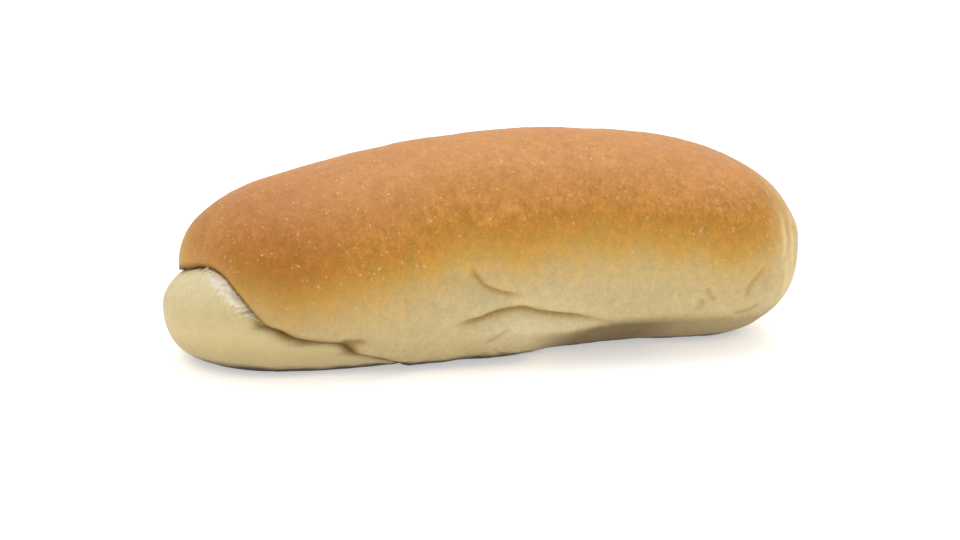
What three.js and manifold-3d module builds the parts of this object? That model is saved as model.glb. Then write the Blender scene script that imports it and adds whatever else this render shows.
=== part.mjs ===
// A long soft bread roll, baked as one piece. Dough was rolled up into a log, so an outer wrap of
// dough lies over the blunt end of the roll inside it: the pale end ("tongue") looks out under the
// wrap's free edge at -X. The browned top is tall and round, the pale lower side is fuller at the
// front left, drawn in under the front right, and creased where the dough folded on itself.
// Millimetres, +X along the roll, -Y its front, +Z up. The origin is on the ground, under the
// middle of the roll.
import * as THREE from 'three';
import { mergeVertices } from 'three/addons/utils/BufferGeometryUtils.js';
import Module from 'manifold-3d';

// ---------------------------------------------------------------- driving dimensions (mm, degrees)
const LEFT_TIP_X = -79.4;        // the tongue's outermost point
const RIGHT_TIP_X = 77.2;        // the outer wrap's far end
const TOP_FULLNESS = 2.15;       // superellipse power of the section above its axis

// Along the roll: [x, value].
const AXIS_Z = [[-78, 14], [-60, 18], [-35, 22], [0, 23], [50, 23.5], [77.5, 24]];
const RIDGE_Z = [[-78, 36], [-60, 41], [-45, 45], [-15, 50.8], [15, 52.2], [45, 49], [77.5, 45.2]];
const SINK = [                   // how far the soft log would reach below the ground if it weren't flat
  [-78, 3.1], [-52, 3], [-32, 1.8], [0, 0.8], [77.5, 0.8],
];
const FRONT_Y = [[-78, 27], [-45, 27.5], [-15, 28], [15, 28.5], [45, 29.5], [77.5, 29]];
const BACK_Y = [[-78, 27], [-45, 29.5], [0, 30.5], [40, 30], [77.5, 28]];
const FRONT_LOW_FULLNESS = [     // superellipse power of the section below its axis
  [-78, 3.1], [-30, 3.2], [2, 3.2], [22, 3], [60, 2.9], [77.5, 2.6],
];
const BACK_LOW_FULLNESS = [[-78, 2.8], [0, 3.1], [77.5, 2.6]];
const FOOT_REACH = [             // from the axis to the slanting plane that cuts the front foot back
  [-30, 33.8], [-18, 31], [-10, 29.4], [-2, 29.8], [2, 29.5], [5.5, 28], [10, 26.2], [15, 25.4],
  [25, 24.9], [32, 24.8], [55, 25.1], [66, 25.2], [77.5, 25.4],
];
const FOOT_TILT = 29;            // the plane's slope to the ground
const FOOT_CRISPNESS = 22;       // how sharply the side turns under into it

// Round the roll: [angle, value], 0 at the front, 90 at the top, 180 at the back, -90 underneath.
const SEAM_X = [
  [-165, -61], [-130, -52], [-90, -34], [-62, -25], [-47, -26], [-38, -32], [-33, -37.4], [-26, -41],
  [-22, -47.3], [-17, -52.5], [-11.5, -55.8], [-7.4, -58.8], [0, -61.4], [8, -63.4], [17, -65.3],
  [38, -68.3], [55, -70.7], [80, -72.8], [100, -74.2], [125, -75], [146, -73.4],
  [160, -70.2], [175, -65],
];
const SEAM_SHARE = [             // the wrap's free edge as a share of the full section there
  [-160, 0.95], [-120, 0.95], [-60, 0.99], [-25, 0.98], [-14, 0.94], [-2, 0.9], [12, 0.82], [25, 0.66],
  [38, 0.55], [55, 0.46], [66, 0.41], [80, 0.363], [95, 0.35], [125, 0.345], [146, 0.39],
  [160, 0.53], [170, 0.72], [180, 0.86],
];
const LIP_ROUNDING = [           // length over which the wrap swells from its edge to full size
  [-160, 5], [-120, 4], [-60, 5], [-30, 5], [-8, 6], [14, 10], [30, 17], [55, 22], [90, 24], [125, 20],
  [165, 11],
];
const RIGHT_ROUNDING = [         // length over which the far end closes
  [-120, 23], [-90, 24], [-60, 24], [-35, 23], [0, 30], [45, 38], [90, 41], [180, 30],
];
const TONGUE_POWER = [           // roundness of the tongue's end: the lower, the blunter
  [-150, 0.86], [-90, 0.85], [-45, 0.91], [-20, 0.88], [0, 0.87], [40, 1.07], [90, 1.3], [140, 1.15],
  [180, 0.92],
];
const LIP_GAP = [                // the tongue stands this far inside the wrap's edge
  [-150, 1], [-90, 0.6], [-45, 0.5], [-20, 0.9], [0, 1.1], [30, 0.8], [55, 0.35], [120, 0.35],
  [150, 0.6],
];
const LIP_POWER = 2.3;           // roundness of the wrap's swelling
const RIGHT_POWER = 2.25;        // roundness of the far end
const LIP_TUCK = 2.2;            // the tongue runs this far in behind the wrap's edge

// Creases in the pale side. Each follows points [x, angle]; the dough swells just below it.
const UNROLLED_RADIUS = 28;      // turns angles into lengths along the surface
const CREASES = [
  { path: [[-15.5, -21], [-10.9, -18.4], [-5.9, -15.5], [-0.3, -14.5], [6, -17], [15.6, -20.6], [25.9, -27.1]],
    depth: 1.3, width: 2.2, swell: 1.1, swellAt: 4.2, swellWidth: 3 },
  { path: [[-10.6, 9], [-9.5, 4.7], [-7.8, -0.4], [-3.6, -5.2], [2.8, -8.9]],
    depth: 0.9, width: 2.0, swell: 0.8, swellAt: 5, swellWidth: 4 },
  { path: [[66, 30], [65.4, 12], [65, 1], [64.2, -12], [63.6, -24]],
    depth: 0.5, width: 2.2, swell: 0, swellAt: 4, swellWidth: 3 },
];

// ---------------------------------------------------------------- mesh
const TONGUE_RINGS = 13;
const TONGUE_CLOSENESS = 1.5;    // above 1, the tongue's rings lie closer together at the seam
const GROOVE_RINGS = 1;
const WRAP_RINGS = 42;
const EVEN_SHARE = 0.25;         // the wrap's rings: this much evenly spaced, the rest closer at the ends
const AROUND = 72;
const MERGE_WITHIN = 1e-4;
const TRAY = { length: 400, width: 200, depth: 60 };

// ---------------------------------------------------------------- smooth tables
function along(points) {
  const slopes = points.map((point, i) => {
    const before = points[Math.max(i - 1, 0)];
    const after = points[Math.min(i + 1, points.length - 1)];
    return (after[1] - before[1]) / (after[0] - before[0]);
  });
  return (x) => {
    const at = THREE.MathUtils.clamp(x, points[0][0], points[points.length - 1][0]);
    let i = 0;
    while (i < points.length - 2 && at > points[i + 1][0]) i += 1;
    const step = points[i + 1][0] - points[i][0];
    const t = (at - points[i][0]) / step;
    return (1 + 2 * t) * (1 - t) ** 2 * points[i][1] + t * (1 - t) ** 2 * step * slopes[i]
      + t * t * (3 - 2 * t) * points[i + 1][1] - t * t * (1 - t) * step * slopes[i + 1];
  };
}

function around(points) {
  const turn = (by) => points.map(([angle, value]) => [angle + by, value]);
  return along([...turn(-360), ...points, ...turn(360)]);
}

const axisZ = along(AXIS_Z);
const ridgeZ = along(RIDGE_Z);
const frontY = along(FRONT_Y);
const backY = along(BACK_Y);
const sink = along(SINK);
const frontLowFullness = along(FRONT_LOW_FULLNESS);
const backLowFullness = along(BACK_LOW_FULLNESS);
const footReach = along(FOOT_REACH);
const seamX = around(SEAM_X);
const seamShare = around(SEAM_SHARE);
const lipRounding = around(LIP_ROUNDING);
const rightRounding = around(RIGHT_ROUNDING);
const tonguePower = around(TONGUE_POWER);
const lipGap = around(LIP_GAP);

// ---------------------------------------------------------------- the log's full section
// A superellipse, its front foot cut back by a slanting plane with a rounded edge.
function fullRadius(x, angle) {
  const side = Math.cos(THREE.MathUtils.degToRad(angle));
  const rise = Math.sin(THREE.MathUtils.degToRad(angle));
  const lowFullness = side > 0 ? frontLowFullness(x) : backLowFullness(x);
  const power = rise > 0 ? TOP_FULLNESS : lowFullness;
  const half = side > 0 ? frontY(x) : backY(x);
  const height = rise > 0 ? ridgeZ(x) - axisZ(x) : axisZ(x) + sink(x);
  const radius = (Math.abs(side / half) ** power + Math.abs(rise / height) ** power) ** (-1 / power);
  const tilt = THREE.MathUtils.degToRad(FOOT_TILT);
  const towardsFoot = Math.max(side * Math.sin(tilt) - rise * Math.cos(tilt), 0) / footReach(x);
  return (radius ** -FOOT_CRISPNESS + towardsFoot ** FOOT_CRISPNESS) ** (-1 / FOOT_CRISPNESS);
}

// Distance in the unrolled surface from a point to a crease; negative below it.
function fromCrease(path, x, angle) {
  const toLength = THREE.MathUtils.degToRad(UNROLLED_RADIUS);   // mm along the surface per degree
  const point = new THREE.Vector2(x, angle * toLength);
  let nearest = Infinity;
  let sign = 1;
  for (let i = 0; i < path.length - 1; i += 1) {
    const from = new THREE.Vector2(path[i][0], path[i][1] * toLength);
    const run = new THREE.Vector2(path[i + 1][0], path[i + 1][1] * toLength).sub(from);
    const offset = point.clone().sub(from);
    const t = THREE.MathUtils.clamp(offset.dot(run) / run.lengthSq(), 0, 1);
    const distance = offset.clone().addScaledVector(run, -t).length();
    if (distance < nearest) {
      nearest = distance;
      sign = Math.sign(run.x * offset.y - run.y * offset.x) || 1;
    }
  }
  return nearest * sign;
}

function creaseOffset(x, angle) {
  let offset = 0;
  for (const crease of CREASES) {
    const away = fromCrease(crease.path, x, angle);
    offset -= crease.depth * Math.exp(-((away / crease.width) ** 2));
    offset += crease.swell * Math.exp(-(((away + crease.swellAt) / crease.swellWidth) ** 2));
  }
  return offset;
}

// ---------------------------------------------------------------- one meridian, from tip to tip
// Each entry is [x, radius from the axis]: the tongue's cap, the step out to the wrap's free edge,
// which overhangs the tongue, and the wrap on to the far end.
function meridian(angle) {
  const edgeX = seamX(angle);
  const edgeRadius = seamShare(angle) * fullRadius(edgeX, angle);
  const behindX = edgeX + LIP_TUCK;
  const behindRadius = edgeRadius - lipGap(angle);
  const roundness = tonguePower(angle);
  const line = [];
  for (let k = 0; k <= TONGUE_RINGS; k += 1) {
    const t = (1 - (1 - k / TONGUE_RINGS) ** TONGUE_CLOSENESS) * Math.PI / 2;
    const forward = k === TONGUE_RINGS ? 0 : Math.cos(t) ** roundness;
    line.push([behindX - (behindX - LEFT_TIP_X) * forward, behindRadius * Math.sin(t) ** roundness]);
  }
  for (let k = 1; k <= GROOVE_RINGS; k += 1) {
    const t = k / (GROOVE_RINGS + 1);
    line.push([THREE.MathUtils.lerp(behindX, edgeX, t), THREE.MathUtils.lerp(behindRadius, edgeRadius, t)]);
  }
  for (let k = 0; k <= WRAP_RINGS; k += 1) {
    const even = k / WRAP_RINGS;
    const t = THREE.MathUtils.lerp((1 - Math.cos(Math.PI * even)) / 2, even, EVEN_SHARE);
    const x = THREE.MathUtils.lerp(edgeX, RIGHT_TIP_X, t);
    const swelling = THREE.MathUtils.clamp((x - edgeX) / lipRounding(angle), 0, 1);
    const grown = (1 - (1 - swelling) ** LIP_POWER) ** (1 / LIP_POWER);
    const closing = THREE.MathUtils.clamp((RIGHT_TIP_X - x) / rightRounding(angle), 0, 1);
    const open = (1 - (1 - closing) ** RIGHT_POWER) ** (1 / RIGHT_POWER);
    const full = fullRadius(x, angle) + creaseOffset(x, angle);
    line.push([x, (edgeRadius + (full - edgeRadius) * grown) * open]);
  }
  return line;
}

// ---------------------------------------------------------------- the roll
// A turned blank gives the rings and the meridians; each of its points is then set on the roll.
const rings = TONGUE_RINGS + GROOVE_RINGS + WRAP_RINGS + 2;
const blankProfile = [];
for (let k = 0; k < rings; k += 1) {
  const t = Math.PI * (k / (rings - 1));
  blankProfile.push(new THREE.Vector2(k === 0 || k === rings - 1 ? 0 : Math.sin(t), -Math.cos(t)));
}
const rollGeometry = new THREE.LatheGeometry(blankProfile, AROUND);
const position = rollGeometry.getAttribute('position');
for (let j = 0; j <= AROUND; j += 1) {
  const angle = 180 - ((j % AROUND) / AROUND) * 360;
  const side = Math.cos(THREE.MathUtils.degToRad(angle));
  const rise = Math.sin(THREE.MathUtils.degToRad(angle));
  meridian(angle).forEach(([x, radius], k) => {
    position.setXYZ(j * rings + k, x, -radius * side, axisZ(x) + radius * rise);
  });
}
rollGeometry.deleteAttribute('uv');
rollGeometry.deleteAttribute('normal');

const wasm = await Module();
wasm.setup();

// A solid from a closed mesh, without the flat triangles that a turned blank has at its tips.
function toSolid(geometry) {
  const merged = mergeVertices(geometry, MERGE_WITHIN);
  const index = merged.getIndex().array;
  const kept = [];
  for (let i = 0; i < index.length; i += 3) {
    const [a, b, c] = [index[i], index[i + 1], index[i + 2]];
    if (a !== b && b !== c && c !== a) kept.push(a, b, c);
  }
  return new wasm.Manifold(new wasm.Mesh({
    numProp: 3,
    vertProperties: new Float32Array(merged.getAttribute('position').array),
    triVerts: new Uint32Array(kept),
  }));
}

// The tray under the roll presses its base flat: everything below the ground is cut away.
const trayGeometry = new THREE.BoxGeometry(TRAY.length, TRAY.width, TRAY.depth);
trayGeometry.translate(0, 0, -TRAY.depth / 2);
trayGeometry.deleteAttribute('uv');
trayGeometry.deleteAttribute('normal');
const settled = toSolid(rollGeometry).subtract(toSolid(trayGeometry)).getMesh();

const geometry = new THREE.BufferGeometry();
geometry.setAttribute('position', new THREE.BufferAttribute(new Float32Array(settled.vertProperties), 3));
geometry.setIndex(new THREE.BufferAttribute(new Uint32Array(settled.triVerts), 1));
geometry.computeBoundingBox();
const middle = geometry.boundingBox.getCenter(new THREE.Vector3());
geometry.translate(-middle.x, -middle.y, -geometry.boundingBox.min.z);
geometry.computeVertexNormals();

const bakedCrust = new THREE.MeshStandardMaterial({ color: 0xc6934f, roughness: 0.62, metalness: 0 });
const breadRoll = new THREE.Mesh(geometry, bakedCrust);
breadRoll.name = 'bread_roll';

const roll = new THREE.Group();
roll.name = 'roll';
roll.add(breadRoll);

export default roll;
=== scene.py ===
import math

import bmesh
import bpy
import numpy as np
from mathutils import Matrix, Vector, noise


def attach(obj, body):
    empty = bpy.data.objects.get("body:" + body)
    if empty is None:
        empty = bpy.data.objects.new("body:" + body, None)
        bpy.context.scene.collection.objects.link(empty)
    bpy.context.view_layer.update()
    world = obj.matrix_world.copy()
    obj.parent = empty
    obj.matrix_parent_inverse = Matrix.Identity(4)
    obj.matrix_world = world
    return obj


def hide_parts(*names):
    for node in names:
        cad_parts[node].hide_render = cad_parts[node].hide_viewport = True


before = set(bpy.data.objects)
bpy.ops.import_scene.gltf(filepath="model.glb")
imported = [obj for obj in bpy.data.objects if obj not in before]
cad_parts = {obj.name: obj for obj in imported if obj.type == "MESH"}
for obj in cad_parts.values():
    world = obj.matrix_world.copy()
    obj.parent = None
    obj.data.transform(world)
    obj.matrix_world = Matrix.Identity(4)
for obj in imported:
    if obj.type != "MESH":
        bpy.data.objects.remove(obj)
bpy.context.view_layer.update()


# ---------------------------------------------------------------- the camera
# A camera on a low tripod, two thirds of a metre away. Its long lens looks a little down on the roll,
# from the front and a little to the left.
MM = 0.001
CAMERA_AZIMUTH = math.radians(-13)
CAMERA_ELEVATION = math.radians(15)
CAMERA_DISTANCE = 652 * MM
CAMERA_AIM = Vector((-0.9, -0.56, 18.2)) * MM
LENS = 100
SENSOR = 36

scene = bpy.context.scene
back = Vector((math.sin(CAMERA_AZIMUTH) * math.cos(CAMERA_ELEVATION),
               -math.cos(CAMERA_AZIMUTH) * math.cos(CAMERA_ELEVATION),
               math.sin(CAMERA_ELEVATION)))
camera = bpy.data.objects.new("camera", bpy.data.cameras.new("camera"))
camera.data.lens = LENS
camera.data.sensor_width = SENSOR
camera.data.clip_start = 10 * MM
camera.location = CAMERA_AIM + back * CAMERA_DISTANCE
camera.rotation_euler = back.to_track_quat("Z", "Y").to_euler()
scene.collection.objects.link(camera)
scene.camera = camera
scene.view_settings.view_transform = "Standard"


# ---------------------------------------------------------------- the light
# A white room that is lit evenly all round, and a broad softbox of white cloth hung over the table, a
# little behind the roll, so that its shadow is soft and close to it.
def linear(colour):
    """An sRGB hex colour as linear RGBA."""
    parts = [int(colour[i:i + 2], 16) / 255 for i in (1, 3, 5)]
    return [c / 12.92 if c <= 0.04045 else ((c + 0.055) / 1.055) ** 2.4 for c in parts] + [1.0]


world = bpy.data.worlds.new("white_room")
world.use_nodes = True
walls = world.node_tree.nodes["Background"]
walls.inputs["Color"].default_value = linear("#ffffff")
walls.inputs["Strength"].default_value = 0.83
scene.world = world

softbox = bpy.data.objects.new("softbox", bpy.data.lights.new("softbox", "AREA"))
softbox.data.shape = "RECTANGLE"
softbox.data.size = 900 * MM
softbox.data.size_y = 500 * MM
softbox.data.energy = 2.8
softbox.location = Vector((50, 220, 700)) * MM
softbox.rotation_euler = Vector(softbox.location).to_track_quat("Z", "Y").to_euler()
scene.collection.objects.link(softbox)


# ---------------------------------------------------------------- the table
# A sweep of matte white card, rolled and uncoated, laid flat under the roll and running far out of
# sight on all sides. It only spreads the light.
SWEEP_HALF_WIDTH = 4000 * MM

sweep_mesh = bmesh.new()
bmesh.ops.create_grid(sweep_mesh, x_segments=1, y_segments=1, size=SWEEP_HALF_WIDTH)
sweep = bpy.data.objects.new("floor", bpy.data.meshes.new("floor"))
sweep_mesh.to_mesh(sweep.data)
sweep_mesh.free()
scene.collection.objects.link(sweep)

# Matte white card: no shine, and bright enough to look white right up to the roll's shadow.
card = bpy.data.materials.new("matte_white_card")
card.use_nodes = True
card_shader = card.node_tree.nodes["Principled BSDF"]
card_shader.inputs["Base Color"].default_value = linear("#f6f6f6")
card_shader.inputs["Roughness"].default_value = 0.9
card_shader.inputs["Specular IOR Level"].default_value = 0.1
card_shader.inputs["Emission Color"].default_value = linear("#ffffff")
card_shader.inputs["Emission Strength"].default_value = 0.46
sweep.data.materials.append(card)


# ---------------------------------------------------------------- the bread roll
# Soft wheat dough, rolled up into a log and baked on a tray. The log's outer wrap lies over the blunt
# end of the roll inside it, and that pale end, the tongue, looks out under the wrap's free edge at -X.
# Lengths are in mm, and angles round the roll in degrees: 0 front, 90 top, 180 back, -90 underneath.
LEFT_TIP_X = -79.4
RIGHT_TIP_X = 77.2
TOP_FULLNESS = 2.15

# Along the roll, as (x, value): the heights of its axis and ridge, how far its bulge would sink into
# the tray, its half widths, how square its lower sides are, and the foot's distance from the axis.
AXIS_Z = [(-78, 14), (-60, 18), (-35, 22), (0, 23), (50, 23.5), (77.5, 24)]
RIDGE_Z = [(-78, 36), (-60, 41), (-45, 45), (-15, 50.8), (15, 52.2), (45, 49), (77.5, 45.2)]
SINK = [(-78, 3.1), (-52, 3), (-32, 1.8), (0, 0.8), (77.5, 0.8)]
FRONT_Y = [(-78, 27), (-45, 27.5), (-15, 28), (15, 28.5), (45, 29.5), (77.5, 29)]
BACK_Y = [(-78, 27), (-45, 29.5), (0, 30.5), (40, 30), (77.5, 28)]
FRONT_LOW_FULLNESS = [(-78, 3.1), (-30, 3.2), (2, 3.2), (22, 3), (60, 2.9), (77.5, 2.6)]
BACK_LOW_FULLNESS = [(-78, 2.8), (0, 3.1), (77.5, 2.6)]
FOOT_REACH = [(-30, 33.8), (-18, 31), (-10, 29.4), (-2, 29.8), (2, 29.5), (5.5, 28), (10, 26.2),
              (15, 25.4), (25, 24.9), (32, 24.8), (55, 25.1), (66, 25.2), (77.5, 25.4)]
FOOT_TILT = 29
FOOT_CRISPNESS = 22

# Round the roll, as (angle, value): where the seam runs, the share of the full section inside it, how
# far the wrap takes to round up from it and down to the far tip, how blunt the tongue is, and how deep
# the groove is under the free edge.
SEAM_X = [
    (-165, -61), (-130, -52), (-90, -34), (-62, -25), (-47, -26), (-38, -32), (-33, -37.4),
    (-26, -41), (-22, -47.3), (-17, -52.5), (-11.5, -55.8), (-7.4, -58.8), (0, -61.4), (8, -63.4),
    (17, -65.3), (38, -68.3), (55, -70.7), (80, -72.8), (100, -74.2), (125, -75), (146, -73.4),
    (160, -70.2), (175, -65)]
SEAM_SHARE = [
    (-160, 0.95), (-120, 0.95), (-60, 0.99), (-25, 0.98), (-14, 0.94), (-2, 0.9), (12, 0.82),
    (25, 0.66), (38, 0.55), (55, 0.46), (66, 0.41), (80, 0.363), (95, 0.35), (125, 0.345),
    (146, 0.39), (160, 0.53), (170, 0.72), (180, 0.86)]
LIP_ROUNDING = [
    (-160, 5), (-120, 4), (-60, 5), (-30, 5), (-8, 6), (14, 10), (30, 17), (55, 22), (90, 24),
    (125, 20), (165, 11)]
RIGHT_ROUNDING = [
    (-120, 23), (-90, 24), (-60, 24), (-35, 23), (0, 30), (45, 38), (90, 41), (180, 30)]
TONGUE_POWER = [
    (-150, 0.86), (-90, 0.85), (-45, 0.91), (-20, 0.88), (0, 0.87), (40, 1.07), (90, 1.3), (140, 1.15),
    (180, 0.92)]
LIP_GAP = [
    (-150, 1), (-90, 0.6), (-45, 0.5), (-20, 0.9), (0, 1.1), (30, 0.8), (55, 0.35), (120, 0.35),
    (150, 0.6)]
LIP_POWER = 2.3
RIGHT_POWER = 2.25
LIP_TUCK = 2.2

TONGUE_RINGS = 52
GROOVE_RINGS = 8
WRAP_RINGS = 236
AROUND = 320


def along(points):
    """A smooth curve through (x, value) points, as a function of an array of x."""
    x = np.array([p[0] for p in points], float)
    y = np.array([p[1] for p in points], float)
    before = np.maximum(np.arange(len(x)) - 1, 0)
    after = np.minimum(np.arange(len(x)) + 1, len(x) - 1)
    slope = (y[after] - y[before]) / (x[after] - x[before])

    def value(at):
        at = np.clip(at, x[0], x[-1])
        i = np.clip(np.searchsorted(x, at, "right") - 1, 0, len(x) - 2)
        step = x[i + 1] - x[i]
        t = (at - x[i]) / step
        return ((1 + 2 * t) * (1 - t) ** 2 * y[i] + t * (1 - t) ** 2 * step * slope[i]
                + t * t * (3 - 2 * t) * y[i + 1] - t * t * (1 - t) * step * slope[i + 1])

    return value


def around(points):
    """The same, round the roll: it closes on itself after 360 degrees."""
    return along([(a + turn, v) for turn in (-360, 0, 360) for a, v in points])


axis_z = along(AXIS_Z)
seam_x = around(SEAM_X)
seam_share = around(SEAM_SHARE)
lip_rounding = around(LIP_ROUNDING)
right_rounding = around(RIGHT_ROUNDING)
tongue_power = around(TONGUE_POWER)


def turned(angle, middle):
    """How far an angle is from another, from -180 to 180 degrees."""
    return np.mod(angle - middle + 180, 360) - 180


def rising(value, none, full):
    """0 where a value is at none or beyond, 1 where it is at full or beyond, and even between."""
    return np.clip((value - none) / (full - none), 0, 1)


def full_radius(x, angle):
    """The log's full section: a superellipse, its front foot flattened back by a slanting plane."""
    side = np.cos(np.radians(angle))
    rise = np.sin(np.radians(angle))
    low = np.where(side > 0, along(FRONT_LOW_FULLNESS)(x), along(BACK_LOW_FULLNESS)(x))
    power = np.where(rise > 0, TOP_FULLNESS, low)
    half = np.where(side > 0, along(FRONT_Y)(x), along(BACK_Y)(x))
    height = np.where(rise > 0, along(RIDGE_Z)(x) - axis_z(x), axis_z(x) + along(SINK)(x))
    radius = (np.abs(side / half) ** power + np.abs(rise / height) ** power) ** (-1 / power)
    tilt = math.radians(FOOT_TILT)
    towards_foot = np.maximum(side * math.sin(tilt) - rise * math.cos(tilt), 0) / along(FOOT_REACH)(x)
    return (radius ** -FOOT_CRISPNESS + towards_foot ** FOOT_CRISPNESS) ** (-1 / FOOT_CRISPNESS)


# Meridians lie closer on the creased front, and rings at the wrap's free edge and at the far tip.
CREASED_ANGLE = -8
CREASED_OVER = 38
END_SHARE = 0.03


def spread(count, closeness):
    """Places from 0 to 1 for count steps, closer together where closeness is larger."""
    middles = (np.arange(count) + 0.5) / count
    steps = 1 / closeness(middles)
    return np.concatenate([[0], np.cumsum(steps)]) / steps.sum()


def closer_front(share):
    """How close meridians lie, by their place from 0 to 1 round the roll."""
    return 1 + 0.9 * np.exp(-(turned(share * 360 - 180, CREASED_ANGLE) / CREASED_OVER) ** 2)


def closer_ends(share):
    """How close rings lie, by their place from 0 to 1 along the wrap."""
    return 1 + 4 * np.exp(-share / END_SHARE) + 3 * np.exp(-(1 - share) / END_SHARE)


# Each ring of the blank has its own x and radius at every angle, from the tongue's tip, under the
# wrap's free edge and back out round it, to the far tip.
angles = spread(AROUND, closer_front)[:-1] * 360 - 180
edge_x = seam_x(angles)
edge_radius = seam_share(angles) * full_radius(edge_x, angles)
behind_x = edge_x + LIP_TUCK
lip_gap = around(LIP_GAP)(angles)
behind_radius = edge_radius - lip_gap
ring_x = []
ring_radius = []

# Away from the seam, the tongue is a smooth end that doesn't follow the seam's quick turns.
SMOOTHED_OVER = 16
FOLLOWS_SEAM_FROM = 0.6
CLOSER_AT_SEAM = 1.5
nearby = np.exp(-(turned(angles[:, None], angles[None, :]) / SMOOTHED_OVER) ** 2)
nearby /= nearby.sum(1)[:, None]
soft_x = nearby @ behind_x
soft_radius = nearby @ behind_radius
for k in range(TONGUE_RINGS + 1):
    turn = (1 - (1 - k / TONGUE_RINGS) ** CLOSER_AT_SEAM) * math.pi / 2
    forward = 0 if k == TONGUE_RINGS else math.cos(turn) ** tongue_power(angles)
    x = behind_x - (behind_x - LEFT_TIP_X) * forward
    along_soft = rising(x, soft_x, LEFT_TIP_X) ** (1 / tongue_power(angles))
    soft = soft_radius * np.sin(np.arccos(along_soft)) ** tongue_power(angles)
    exact = behind_radius * math.sin(turn) ** tongue_power(angles)
    follow = rising(k / TONGUE_RINGS, FOLLOWS_SEAM_FROM, 1) ** 2
    ring_x.append(x)
    ring_radius.append(soft + (exact - soft) * follow)
for k in range(1, GROOVE_RINGS + 1):
    out = k / (GROOVE_RINGS + 1)
    ring_x.append(behind_x + (edge_x - behind_x) * out)
    ring_radius.append(behind_radius + lip_gap * out ** 2)
for t in spread(WRAP_RINGS, closer_ends):
    x = edge_x + (RIGHT_TIP_X - edge_x) * t
    swelling = np.clip((x - edge_x) / lip_rounding(angles), 0, 1)
    grown = (1 - (1 - swelling) ** LIP_POWER) ** (1 / LIP_POWER)
    closing = np.clip((RIGHT_TIP_X - x) / right_rounding(angles), 0, 1)
    opened = (1 - (1 - closing) ** RIGHT_POWER) ** (1 / RIGHT_POWER)
    ring_x.append(x)
    ring_radius.append((edge_radius + (full_radius(x, angles) - edge_radius) * grown) * opened)
ring_x = np.array(ring_x)
ring_radius = np.array(ring_radius)
RINGS = len(ring_x)

# The blank is a ball of rings and meridians between two tips.
dough = bmesh.new()
bmesh.ops.create_uvsphere(dough, u_segments=AROUND, v_segments=RINGS - 1, radius=1.0)
blank = np.array([v.co[:] for v in dough.verts])
ring = np.rint(np.arccos(np.clip(blank[:, 2], -1, 1)) / math.pi * (RINGS - 1)).astype(int)
spun = np.degrees(np.arctan2(blank[:, 1], blank[:, 0]))
meridian = np.rint((spun + 180) / 360 * AROUND).astype(int) % AROUND
x = ring_x[ring, meridian]
radius = ring_radius[ring, meridian]
angle = angles[meridian]


def placed(x, angle, radius):
    """Points of the roll, in mm, before it is set on the ground."""
    return np.stack([x, -radius * np.cos(np.radians(angle)),
                     axis_z(x) + radius * np.sin(np.radians(angle))], 1)


smooth_place = placed(x, angle, radius)
settled = np.maximum(smooth_place, [-np.inf, -np.inf, 0])
centre = (settled.min(0) + settled.max(0)) / 2

# Unrolled, the skin is about this many mm across for each degree round the roll.
UNROLLED = math.radians(28)

# How far each point is from the seam, square to it. It counts as further off on the tongue's top,
# so that the seam's painted shade is fainter there.
FAINTER_BY = 1.6
on_wrap = ring > TONGUE_RINGS + GROOVE_RINGS
on_tongue = ring <= TONGUE_RINGS
from_edge = x - edge_x[meridian]
lean = 1 / np.hypot(1, np.gradient(edge_x, angles * UNROLLED))[meridian]
from_seam = np.where(on_wrap, np.hypot(from_edge * lean, radius - edge_radius[meridian]),
                     np.maximum(-from_edge, 0) * lean)
from_seam += on_tongue * FAINTER_BY * rising(angle, 45, 75)


# Where the soft log folded on itself, the dough above a fold hangs over it and the dough below
# swells. Wrinkles are shallower. Each has its path as (x, angle) points, left to right, its depth, its
# width above and below the path, how much the dough below it swells, and how far it is overhung.
CREASES = [
    # the main fold: an arch low on the front
    ([(-15.5, -21), (-13.3, -19.7), (-10.9, -18.4), (-8.3, -17.3), (-5.9, -15.5), (-3.3, -14.6),
      (-0.3, -14.5), (3.3, -15.2), (6, -17), (10.6, -18.9), (15.6, -20.6), (20.7, -23.2),
      (25.9, -27.1)],
     1.3, 1.7, 1.3, 1.1, 0.45),
    # the side fold, where the upper dough laps down over the lower left
    ([(-10.6, 9), (-9.5, 4.7), (-7.8, -0.4), (-6, -3.1), (-3.6, -5.2), (-0.9, -6.8), (2.8, -8.9)],
     0.75, 1.1, 2, 1, 0.4),
    # a short crease under the main fold
    ([(-6.4, -30.6), (-6, -29.9), (-3, -24.4), (-0.8, -22.4)], 0.35, 1.1, 1.3, 0.2, 0),
    # a dimple above the seam's low end
    ([(-41.6, -22.3), (-39.2, -23.2), (-36.8, -24.4), (-34, -26.5)], 0.5, 1.5, 1.2, 0.3, 0),
    # wrinkles towards the far end
    ([(47.1, -8.9), (47.4, -11.5), (48.3, -14.4), (49.3, -15.1)], 0.4, 1.2, 1.3, 0.25, 0),
    ([(44.3, -21.1), (44.9, -19.2), (45.7, -16.2), (46.3, -14.9)], 0.35, 1.2, 1.3, 0.2, 0),
    ([(56.7, -16.5), (57.2, -13.9), (58.1, -10.1), (60.8, -5.6), (62.7, -2.6)],
     0.45, 1.2, 1.4, 0.3, 0),
    ([(53.7, -24.7), (55.8, -24.6), (57.8, -24.8), (59.4, -23.3), (61.1, -21.2)],
     0.5, 1.1, 1.4, 0.35, 0),
    # two soft rings round the far end, where the log's last turn closed
    ([(67, -24), (68.3, -12), (69.4, 1), (70, 12), (69.6, 27.6), (67.5, 45)],
     0.3, 1.5, 1.4, 0.3, 0),
    ([(72, -20), (72.8, -5), (73.1, 10), (72, 26)], 0.3, 1.3, 1.5, 0.3, 0),
]
FADES_OVER = 0.22
BANK_POWER = 1.4
SWELL_AWAY = 3.2
SWELL_WIDTH = 2.2
PATH_STEPS = 6


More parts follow.
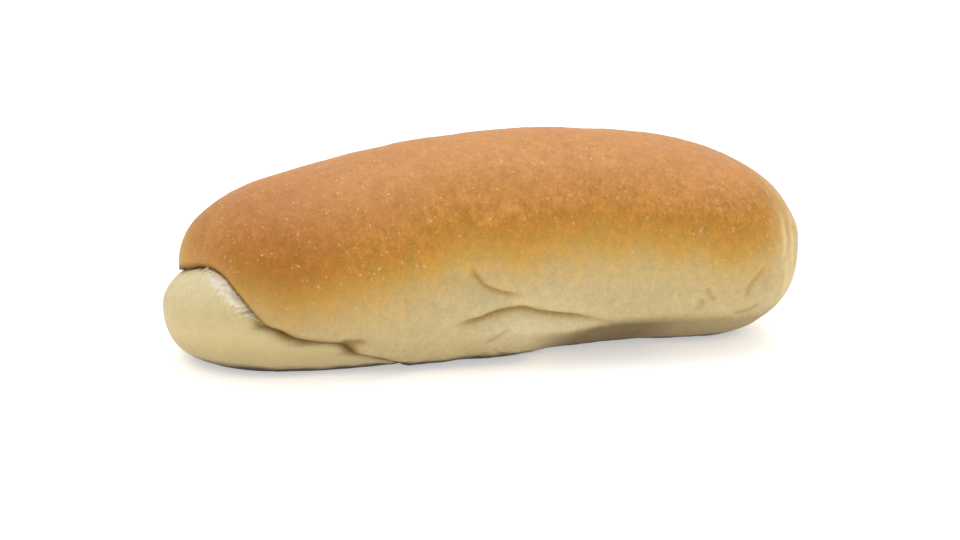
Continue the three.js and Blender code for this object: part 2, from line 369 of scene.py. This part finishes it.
def smooth_path(points):
    """A path's points and the points of a smooth curve between them."""
    knots = np.arange(len(points), dtype=float)
    fine = np.linspace(0, len(points) - 1, (len(points) - 1) * PATH_STEPS + 1)
    return np.stack([along(list(zip(knots, [p[i] for p in points])))(fine) for i in (0, 1)], 1)


def beside(path, x, angle):
    """Each point's distance from a path in the unrolled surface, in mm and positive above it; the
    way that leads up from the path; and how far along it the point is, from 0 to 1."""
    line = smooth_path(path) * [1, UNROLLED]
    distance = np.full(len(x), np.inf)
    side = np.ones(len(x))
    way = np.zeros((len(x), 2))
    share = np.zeros(len(x))
    for i in range(len(line) - 1):
        run = line[i + 1] - line[i]
        offset = np.stack([x - line[i, 0], angle * UNROLLED - line[i, 1]], 1)
        t = np.clip(offset @ run / (run @ run), 0, 1)
        apart = offset - t[:, None] * run
        length = np.hypot(apart[:, 0], apart[:, 1])
        nearer = length < distance
        across = np.array([-run[1], run[0]]) / np.hypot(*run)
        distance[nearer] = length[nearer]
        side[nearer] = np.where(offset[nearer] @ across >= 0, 1, -1)
        way[nearer] = across
        share[nearer] = (i + t[nearer]) / (len(line) - 1)
    return distance * side, way, share


raised = np.zeros(len(x))
slid = np.zeros((len(x), 2))
folded = np.zeros(len(x))
for path, depth, above, below, swell, overhang in CREASES:
    away, way, share = beside(path, x, angle)
    strength = rising(np.minimum(share, 1 - share), 0, FADES_OVER)
    strength = strength * strength * (3 - 2 * strength) * on_wrap
    bank = np.exp(-(np.abs(away) / np.where(away > 0, above, below)) ** BANK_POWER)
    raised -= strength * depth * bank
    raised += strength * swell * np.exp(-((away / below + SWELL_AWAY) / SWELL_WIDTH) ** 2)

    # The dough just above a fold slides down over it, and its floor is pushed up a little.
    push = overhang * (0.4 * np.exp(-((away + 0.1) / 0.5) ** 2) - np.exp(-((away - 0.9) / 0.7) ** 2))
    slid += (strength * push)[:, None] * way
    # How much painted shade each fold holds, close along its line.
    folded = np.maximum(folded, strength * min(depth, 1) * np.exp(-(np.abs(away + 0.1) / 0.7) ** 2))

# Dents, where the dough was handled, as (x, angle, radius, depth).
DENTS = [(-20.8, -7, 4.5, 0.45), (-24.3, -19, 4, 0.35), (-21.4, -34, 5, 0.4), (-5, 32, 5, 0.35),
         (-50, 27, 7, 0.3), (-36, 12, 8, 0.3), (24, 20, 9, 0.35), (40, 44, 8, 0.35), (12, 60, 9, 0.3),
         (-32, 64, 9, 0.35), (30, -10, 6, 0.3), (-10, 128, 10, 0.5), (28, 150, 9, 0.5),
         (-38, 160, 7, 0.45), (52, 172, 6, 0.4)]
for dent_x, dent_angle, dent_radius, dent_depth in DENTS:
    apart = np.hypot(x - dent_x, turned(angle, dent_angle) * UNROLLED)
    raised -= dent_depth * np.exp(-(apart / dent_radius) ** 2)

# The skin is never quite even: slow swells, lumps and a fine orange peel, as (wave, height).
WAVES = [(21, 0.42), (8, 0.2), (3.4, 0.09), (1.6, 0.05)]
for wave, height in WAVES:
    raised += height * np.array([noise.noise(Vector(point) / wave) for point in smooth_place])


# The wrap pulled away from the tongue as it rose, and tore a band of white crumb out of it at the
# front, just below the free edge: short strands that run across the seam, ragged at its outer side.
TORN_WIDTH = [(-180, 0), (-24, 0), (-14, 0.9), (-6, 2.8), (4, 4.2), (14, 4.8), (25, 4.8), (36, 4),
              (46, 2), (54, 0), (180, 0)]
RAGGED_OVER = 2.4
TORN_LIFT = 0.3
STRAND_LIFT = 0.6
STRANDS_UP = 1.3
STRANDS_OUT = 0.4
torn_width = along(TORN_WIDTH)(angle)
strand = np.array([noise.noise(Vector((up * STRANDS_UP, out * STRANDS_OUT, 3.0)))
                   for up, out in zip(angle * UNROLLED, x)])
torn = rising(torn_width + from_edge, 0, RAGGED_OVER) * rising(torn_width, 0, 1) * on_tongue
raised += torn * (TORN_LIFT + STRAND_LIFT * strand)

# One strand of crumb still bridges the seam near the top of the tongue.
BRIDGE_ANGLE = 47
BRIDGE_HALF_WIDTH = 1.3
BRIDGE_WHITENESS = 0.75
bridge = BRIDGE_WHITENESS * np.exp(-((angle - BRIDGE_ANGLE) / BRIDGE_HALF_WIDTH) ** 2)
bridge *= np.exp(-(np.where(on_wrap, from_seam / 0.9, from_edge / 1.8)) ** 4)
torn = np.maximum(torn, bridge)
raised += bridge * np.where(on_wrap, 0.3, 1.1)

# Below the torn band, the free edge sinks into the tongue along a soft valley.
VALLEY = [(-180, 0), (-70, 0), (-42, 0.6), (-24, 1.1), (-12, 1.2), (0, 0.7), (12, 0.2), (24, 0),
          (180, 0)]
valley = along(VALLEY)(angle)
raised -= valley * np.exp(-(from_seam / np.where(on_wrap, 0.9, 1.7)) ** 2)

# The log's far end closed in a shallow dimple, with a soft swirl of three puckers round it.
FAR_END_FROM = 60
FAR_END_TO = 72
DIMPLE_DEPTH = 0.8
DIMPLE_RADIUS = 4.5
PUCKERS = 3
PUCKER_TWIST = 16
PUCKER_DEPTH = 0.3
PUCKER_RADIUS = 8.5
closed = rising(x, FAR_END_FROM, FAR_END_TO)
swirl = np.cos(np.radians(PUCKERS * angle + PUCKER_TWIST * radius))
swirl *= np.exp(-((radius - PUCKER_RADIUS) / 5) ** 2)
x = x - closed * (DIMPLE_DEPTH * np.exp(-(radius / DIMPLE_RADIUS) ** 2) + PUCKER_DEPTH * swirl)

# The finished skin, settled on the tray. Relief fades out at the two tips, where all meridians meet.
TIP_RADIUS = 6
radius = np.maximum(radius + raised * rising(radius, 0, TIP_RADIUS), 0)
x = x + slid[:, 0]
angle = angle + slid[:, 1] / UNROLLED
place = placed(x, angle, radius)
place[:, 2] = np.maximum(place[:, 2], 0)
place[:, :2] -= centre[:2]
for vert, point in zip(dough.verts, place):
    vert.co = Vector(point) * MM
bmesh.ops.recalc_face_normals(dough, faces=dough.faces)
if dough.calc_volume(signed=True) < 0:
    bmesh.ops.reverse_faces(dough, faces=dough.faces)
roll = bpy.data.objects.new("roll", bpy.data.meshes.new("roll"))
dough.to_mesh(roll.data)
dough.free()
for face in roll.data.polygons:
    face.use_smooth = True
scene.collection.objects.link(roll)


# The oven's top heat browned the skin down to a wavy border, at these (x, height) points, below which
# the roll stayed pale, as its neighbours on the tray shaded it. The far end browned less. Browning is
# kept for each point of the skin, as is all that follows.
FRONT_BORDER = [(-76, 17), (-68, 18.5), (-60.5, 20.5), (-51.4, 18.2), (-39.7, 19.2), (-27.9, 20.9),
                (-18.4, 24), (-11.2, 26.5), (0.7, 25.8), (10.4, 26.7), (20, 27.2), (32.2, 26.6),
                (44.4, 25), (54.4, 22.9), (62, 22.4), (77, 22)]
BACK_BORDER = [(-70, 25), (-45, 21), (-20, 24.5), (5, 23), (30, 26), (55, 23.5), (75, 23)]
BROWNS_FROM_BELOW = 9.5
BROWNED_OVER = 33
FAR_END_PALER = 0.22
at_x, at_y, at_z = place.T
front_share = rising(at_y, 12, -12)
border = along(FRONT_BORDER)(at_x) * front_share + along(BACK_BORDER)(at_x) * (1 - front_share)
browning = (at_z - border + BROWNS_FROM_BELOW) / BROWNED_OVER
browning -= FAR_END_PALER * rising(at_x, FAR_END_FROM, FAR_END_TO) * np.clip(browning, 0, 1)

# A patch above the tongue is the most done, and the left half is a little more done than the right.
MOST_DONE_X = -54
MOST_DONE_Z = 31
MOST_DONE_REACH = 16
patch = np.hypot(at_x - MOST_DONE_X, 0.9 * (at_z - MOST_DONE_Z)) / MOST_DONE_REACH
well_done = 0.6 * np.exp(-patch ** 2) + 0.2 * rising(at_x, -10, -60)
well_done *= rising(at_y, 16, -8)

# How much the mottling shows: most in the golden band, and less on the tongue and near it.
LIVELINESS = [(-1, 1), (0.1, 1.1), (0.42, 1.85), (0.7, 2.1), (0.95, 1.5), (2, 1.5)]
lively = along(LIVELINESS)(browning)
lively *= np.where(on_tongue, 0.5, 1 - 0.2 * rising(at_x, -30, -50))

# The front is palest round the main fold, and two pale streaks follow the rings at the far end.
# A streak has its x, its half width and its strength.
PALEST_X = 7
PALEST_Z = 12
PALEST_LENGTH = 14
PALEST_HEIGHT = 6.5
STREAKS = [(70.2, 0.9, 1), (73.4, 0.8, 0.7)]
STREAKS_ANGLE = 4
STREAKS_OVER = 26
paler_round_fold = np.exp(-((at_x - PALEST_X) / PALEST_LENGTH) ** 2 - ((at_z - PALEST_Z) / PALEST_HEIGHT) ** 2)
paler_round_fold *= at_y < 0
streaks = sum(strong * np.exp(-((at_x - middle) / wide) ** 2) for middle, wide, strong in STREAKS)
streaks *= np.exp(-(turned(angle, STREAKS_ANGLE) / STREAKS_OVER) ** 4)

# Painted shade darkens the foot where it looks down at the tray, mostly at the front right. The rim
# that met the hot tray is browned and also painted dark with contact shadow, a little higher to the
# right.
UNDERSIDE_PAINTED_SHADE = [(-80, 0.25), (4, 0.25), (20, 1), (34, 1), (46, 0.6), (78, 0.6)]
RIM_HEIGHT = [(-20, 0.8), (10, 1.1), (30, 1.5), (78, 1.7)]
downward = -np.array([v.normal.z for v in roll.data.vertices])
# Painted shade on the foot's surfaces that look down.
underside_painted_shade = rising(downward, 0.3, 0.8) * rising(at_z, 13, 9)
underside_painted_shade *= along(UNDERSIDE_PAINTED_SHADE)(at_x) * (0.3 + 0.7 * rising(at_y, 3, -4))
# The rim: browning from the tray, with painted contact shadow along the floor.
rim_browning_and_contact_shadow = rising(downward, -0.1, 0.4) * np.exp(-(at_z / along(RIM_HEIGHT)(at_x)) ** 4)
turned_under = 0.78 + 0.13 * rising(at_x, 0, 15)
rim_browning_and_contact_shadow = np.maximum(rim_browning_and_contact_shadow, rising(downward, turned_under, turned_under + 0.1) * rising(at_z, 6, 3))

attributes = {
    "browning": browning, "lively": lively, "well_done": well_done, "paler_round_fold": paler_round_fold,
    "streaks": streaks, "far_end": rising(at_x, 64, 73), "tongue": 1.0 * (ring <= TONGUE_RINGS + 2),
    "torn": torn, "folded": folded, "from_seam": np.minimum(from_seam, 8), "valley": valley,
    "underside_painted_shade": underside_painted_shade, "rim_browning_and_contact_shadow": rim_browning_and_contact_shadow, "base": rising(at_z, 0.4, 0)}
for name, values in attributes.items():
    attribute = roll.data.attributes.new(name, "FLOAT", "POINT")
    attribute.data.foreach_set("value", values.astype(np.float32))


# Baked wheat crust. The skin dried and browned in the oven: matt to satin, golden brown on top with a
# fine pebbled grain and small pale blisters, and pale, duller cream where its neighbours shaded it.
crust = bpy.data.materials.new("baked_wheat_crust")
crust.use_nodes = True
tree = crust.node_tree
crust_shader = tree.nodes["Principled BSDF"]
crust_shader.inputs["IOR"].default_value = 1.45
crust_shader.inputs["Specular IOR Level"].default_value = 0.3


def add(kind, settings=None, **links):
    """Adds a node with its settings, and sets or links each input, named, or numbered as in0, in1."""
    node = tree.nodes.new("ShaderNode" + kind)
    for key, value in (settings or {}).items():
        setattr(node, key, value)
    for key, value in links.items():
        socket = node.inputs[int(key[2:]) if key[2:].isdigit() else key.replace("_", " ")]
        if isinstance(value, bpy.types.NodeSocket):
            tree.links.new(value, socket)
        else:
            socket.default_value = value
    return node


def per_mm(length):
    """A pattern's scale for one repeat in that many mm, in the metres of Object coordinates."""
    return 1 / (length * MM)


spot = add("TexCoord").outputs["Object"]
kept = {name: add("Attribute", {"attribute_name": name}).outputs["Fac"] for name in attributes}
above_tray = add("SeparateXYZ", in0=spot).outputs["Z"]

# Browning wanders by a few mm, and is mottled at the size of the dough's bubbles and of its grain,
# which is a little longer up and down, as the skin stretched while it rose. Each is a pattern, with
# how much it shifts the browning and how much it brightens the skin.
stretched = add("Mapping", Vector=spot, Scale=(1.0, 0.75, 0.75)).outputs["Vector"]
wander = add("TexNoise", Vector=stretched, Scale=per_mm(7), Detail=2.0).outputs["Fac"]
mottle = add("TexNoise", Vector=stretched, Scale=per_mm(2.2), Detail=3.0,
             Roughness=0.7).outputs["Fac"]
grain = add("TexNoise", Vector=stretched, Scale=per_mm(0.75), Detail=2.0,
            Roughness=0.6).outputs["Fac"]
toasted = kept["browning"]
uneven = 0.0
for pattern, browner, brighter in ((wander, 0.18, 0.12), (mottle, 0.22, 0.46), (grain, 0.08, 0.3)):
    centred = add("Math", {"operation": "SUBTRACT"}, in0=pattern, in1=0.5).outputs[0]
    toasted = add("Math", {"operation": "MULTIPLY_ADD"}, in0=centred, in1=browner,
                  in2=toasted).outputs[0]
    uneven = add("Math", {"operation": "MULTIPLY_ADD"}, in0=centred, in1=brighter,
                 in2=uneven).outputs[0]

# Dark mottles are weaker than light ones.
weaker = add("Math", {"operation": "MULTIPLY"}, in0=uneven, in1=0.75).outputs[0]
uneven = add("Math", {"operation": "MAXIMUM"}, in0=uneven, in1=weaker).outputs[0]
uneven = add("Math", {"operation": "MULTIPLY_ADD"}, in0=uneven, in1=kept["lively"],
             in2=1.0).outputs[0]


def ramp(stops, factor):
    """A colour ramp: (place, hex colour) stops."""
    node = add("ValToRGB", in0=factor)
    while len(node.color_ramp.elements) < len(stops):
        node.color_ramp.elements.new(0.5)
    for element, (at, colour) in zip(node.color_ramp.elements, stops):
        element.position = at
        element.color = linear(colour)
    return node.outputs["Color"]


def mix(factor, below, above, blend="MIX"):
    """One colour over another, each a hex colour or another node's output."""
    node = add("Mix", {"data_type": "RGBA", "blend_type": blend}, in0=factor)
    for socket, colour in ((node.inputs[6], below), (node.inputs[7], above)):
        if isinstance(colour, str):
            socket.default_value = linear(colour)
        else:
            tree.links.new(colour, socket)
    return node.outputs[2]


toast = ramp([(0.0, "#bda97b"), (0.13, "#c0a875"), (0.25, "#c2a265"), (0.36, "#c19748"),
              (0.46, "#bd8a37"), (0.58, "#b97e2d"), (0.75, "#c1843e"), (1.0, "#c68849")], toasted)
for where, most, colour in (("far_end", 0.4, "#dcc18c"), ("streaks", 0.55, "#e9d3a0"),
                            ("paler_round_fold", 0.5, "#d6c79d")):
    amount = add("Math", {"operation": "MULTIPLY"}, in0=kept[where], in1=most).outputs[0]
    toast = mix(amount, toast, colour)
toast = mix(kept["well_done"], toast, "#e4d3b4", "MULTIPLY")
# Painted light and shade on the tongue's pale cream: lighter towards its top and darker towards the
# tray,
# as the light falls from above.
pale = ramp([(0.0, "#c3b184"), (0.25, "#c0ac7c"), (0.6, "#c9b686"), (1.0, "#ddcfa4")],
            add("MapRange", in0=above_tray, in1=0.0, in2=26 * MM).outputs[0])
skin = mix(kept["tongue"], toast, pale)
skin = add("VectorMath", {"operation": "SCALE"}, in0=skin, Scale=uneven).outputs[0]

# Small pale blisters, where steam lifted the skin, mostly on the browned top. Each kind has how far
# apart they are and their largest radius, as a share of that, and the share of places without one.
blisters = 0.0
pull = add("TexNoise", Vector=spot, Scale=per_mm(0.7), Detail=1.0).outputs["Color"]
ragged = add("VectorMath", {"operation": "MULTIPLY_ADD"}, in0=pull, in1=(0.9 * MM,) * 3, in2=spot)
for apart, largest, bare in ((1.8, 0.27, 0.2), (1.1, 0.34, 0.25)):
    cells = add("TexVoronoi", Vector=ragged.outputs[0], Scale=per_mm(apart))
    lot = add("SeparateColor", in0=cells.outputs["Color"]).outputs[0]
    size = add("MapRange", in0=lot, in1=bare, in2=1.0, in3=-0.05, in4=largest).outputs[0]
    dome = add("Math", {"operation": "SUBTRACT"}, in0=size, in1=cells.outputs["Distance"]).outputs[0]
    dome = add("Math", {"operation": "MULTIPLY", "use_clamp": True}, in0=dome, in1=3.2).outputs[0]
    blisters = add("Math", {"operation": "ADD", "use_clamp": True}, in0=dome,
                   in1=blisters).outputs[0]
browned = add("MapRange", in0=toasted, in1=0.15, in2=0.5, in3=0.12, in4=0.85).outputs[0]
blistered = add("Math", {"operation": "MULTIPLY"}, in0=blisters, in1=browned).outputs[0]
skin = mix(blistered, skin, "#e8c890")


def by_seam(near, far, strength):
    """Strength up to near, in mm from the seam, and fading to nothing at far."""
    return add("MapRange", {"interpolation_type": "SMOOTHSTEP"}, in0=kept["from_seam"],
               in1=near, in2=far, in3=strength, in4=0.0).outputs[0]


# Torn crumb is nearly white and fibrous. The seam has soft olive-brown painted shade, and a thin dark
# line of painted shadow at the lip.
run_across = add("Mapping", Vector=spot, Scale=(0.35, 1.3, 0.75)).outputs["Vector"]
strands = add("TexNoise", Vector=run_across, Scale=per_mm(0.9), Detail=2.0,
              Roughness=0.6).outputs["Fac"]
fibre = add("Math", {"operation": "MULTIPLY_ADD"}, in0=strands, in1=3.0, in2=-1.5).outputs[0]
fibre = add("Math", {"operation": "ADD"}, in0=kept["torn"], in1=fibre).outputs[0]
crumb = add("MapRange", in0=fibre, in1=0.15, in2=0.9, in3=0.0, in4=0.95).outputs[0]
crumb = add("Math", {"operation": "MULTIPLY"}, in0=crumb, in1=kept["torn"]).outputs[0]
skin = mix(crumb, skin, "#efe6ce")
whole = add("Math", {"operation": "SUBTRACT"}, in0=1.0, in1=kept["torn"]).outputs[0]
# Painted shade, soft and olive-brown, on both sides of the seam and along its valley.
for reach, where, tint in ((2.0, whole, "#b29b62"), (2.8, kept["valley"], "#b5a26c")):
    shaded = add("Math", {"operation": "MULTIPLY"}, in0=by_seam(0.3, reach, 0.8), in1=where)
    skin = mix(shaded.outputs[0], skin, tint, "MULTIPLY")
# Painted shadow: a thin dark line right at the lip, where the gap lies in shade.
skin = mix(by_seam(0.1, 0.6, 0.7), skin, "#ac893c", "MULTIPLY")

# The folds hold a soft painted shade, and the foot has painted shade where it looks down at the tray.
# The rim and the base that lay on the tray are browned, and the rim also holds painted contact shadow.
for where, tint in (("folded", "#c4ae72"), ("underside_painted_shade", "#9a8e6e"), ("rim_browning_and_contact_shadow", "#553f1a"),
                    ("base", "#8f6c3a")):
    skin = mix(kept[where], skin, tint, "MULTIPLY")
tree.links.new(skin, crust_shader.inputs["Base Color"])

# The browned skin has a soft sheen, and the pale skin is matt.
gloss = add("MapRange", in0=toasted, in1=0.1, in2=0.6, in3=0.62, in4=0.47).outputs[0]
tree.links.new(gloss, crust_shader.inputs["Roughness"])

# Relief, in mm: torn strands, pebbling, grain and blisters.
relief = add("Math", {"operation": "MULTIPLY"}, in0=strands, in1=kept["torn"]).outputs[0]
relief = add("Math", {"operation": "MULTIPLY"}, in0=relief, in1=0.7).outputs[0]
for pattern, tall in ((mottle, 0.3), (grain, 0.16), (blistered, 0.08)):
    relief = add("Math", {"operation": "MULTIPLY_ADD"}, in0=pattern, in1=tall,
                 in2=relief).outputs[0]
bump = add("Bump", Distance=MM, Height=relief)
tree.links.new(bump.outputs["Normal"], crust_shader.inputs["Normal"])
roll.data.materials.append(crust)

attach(roll, "root")
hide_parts("bread_roll")
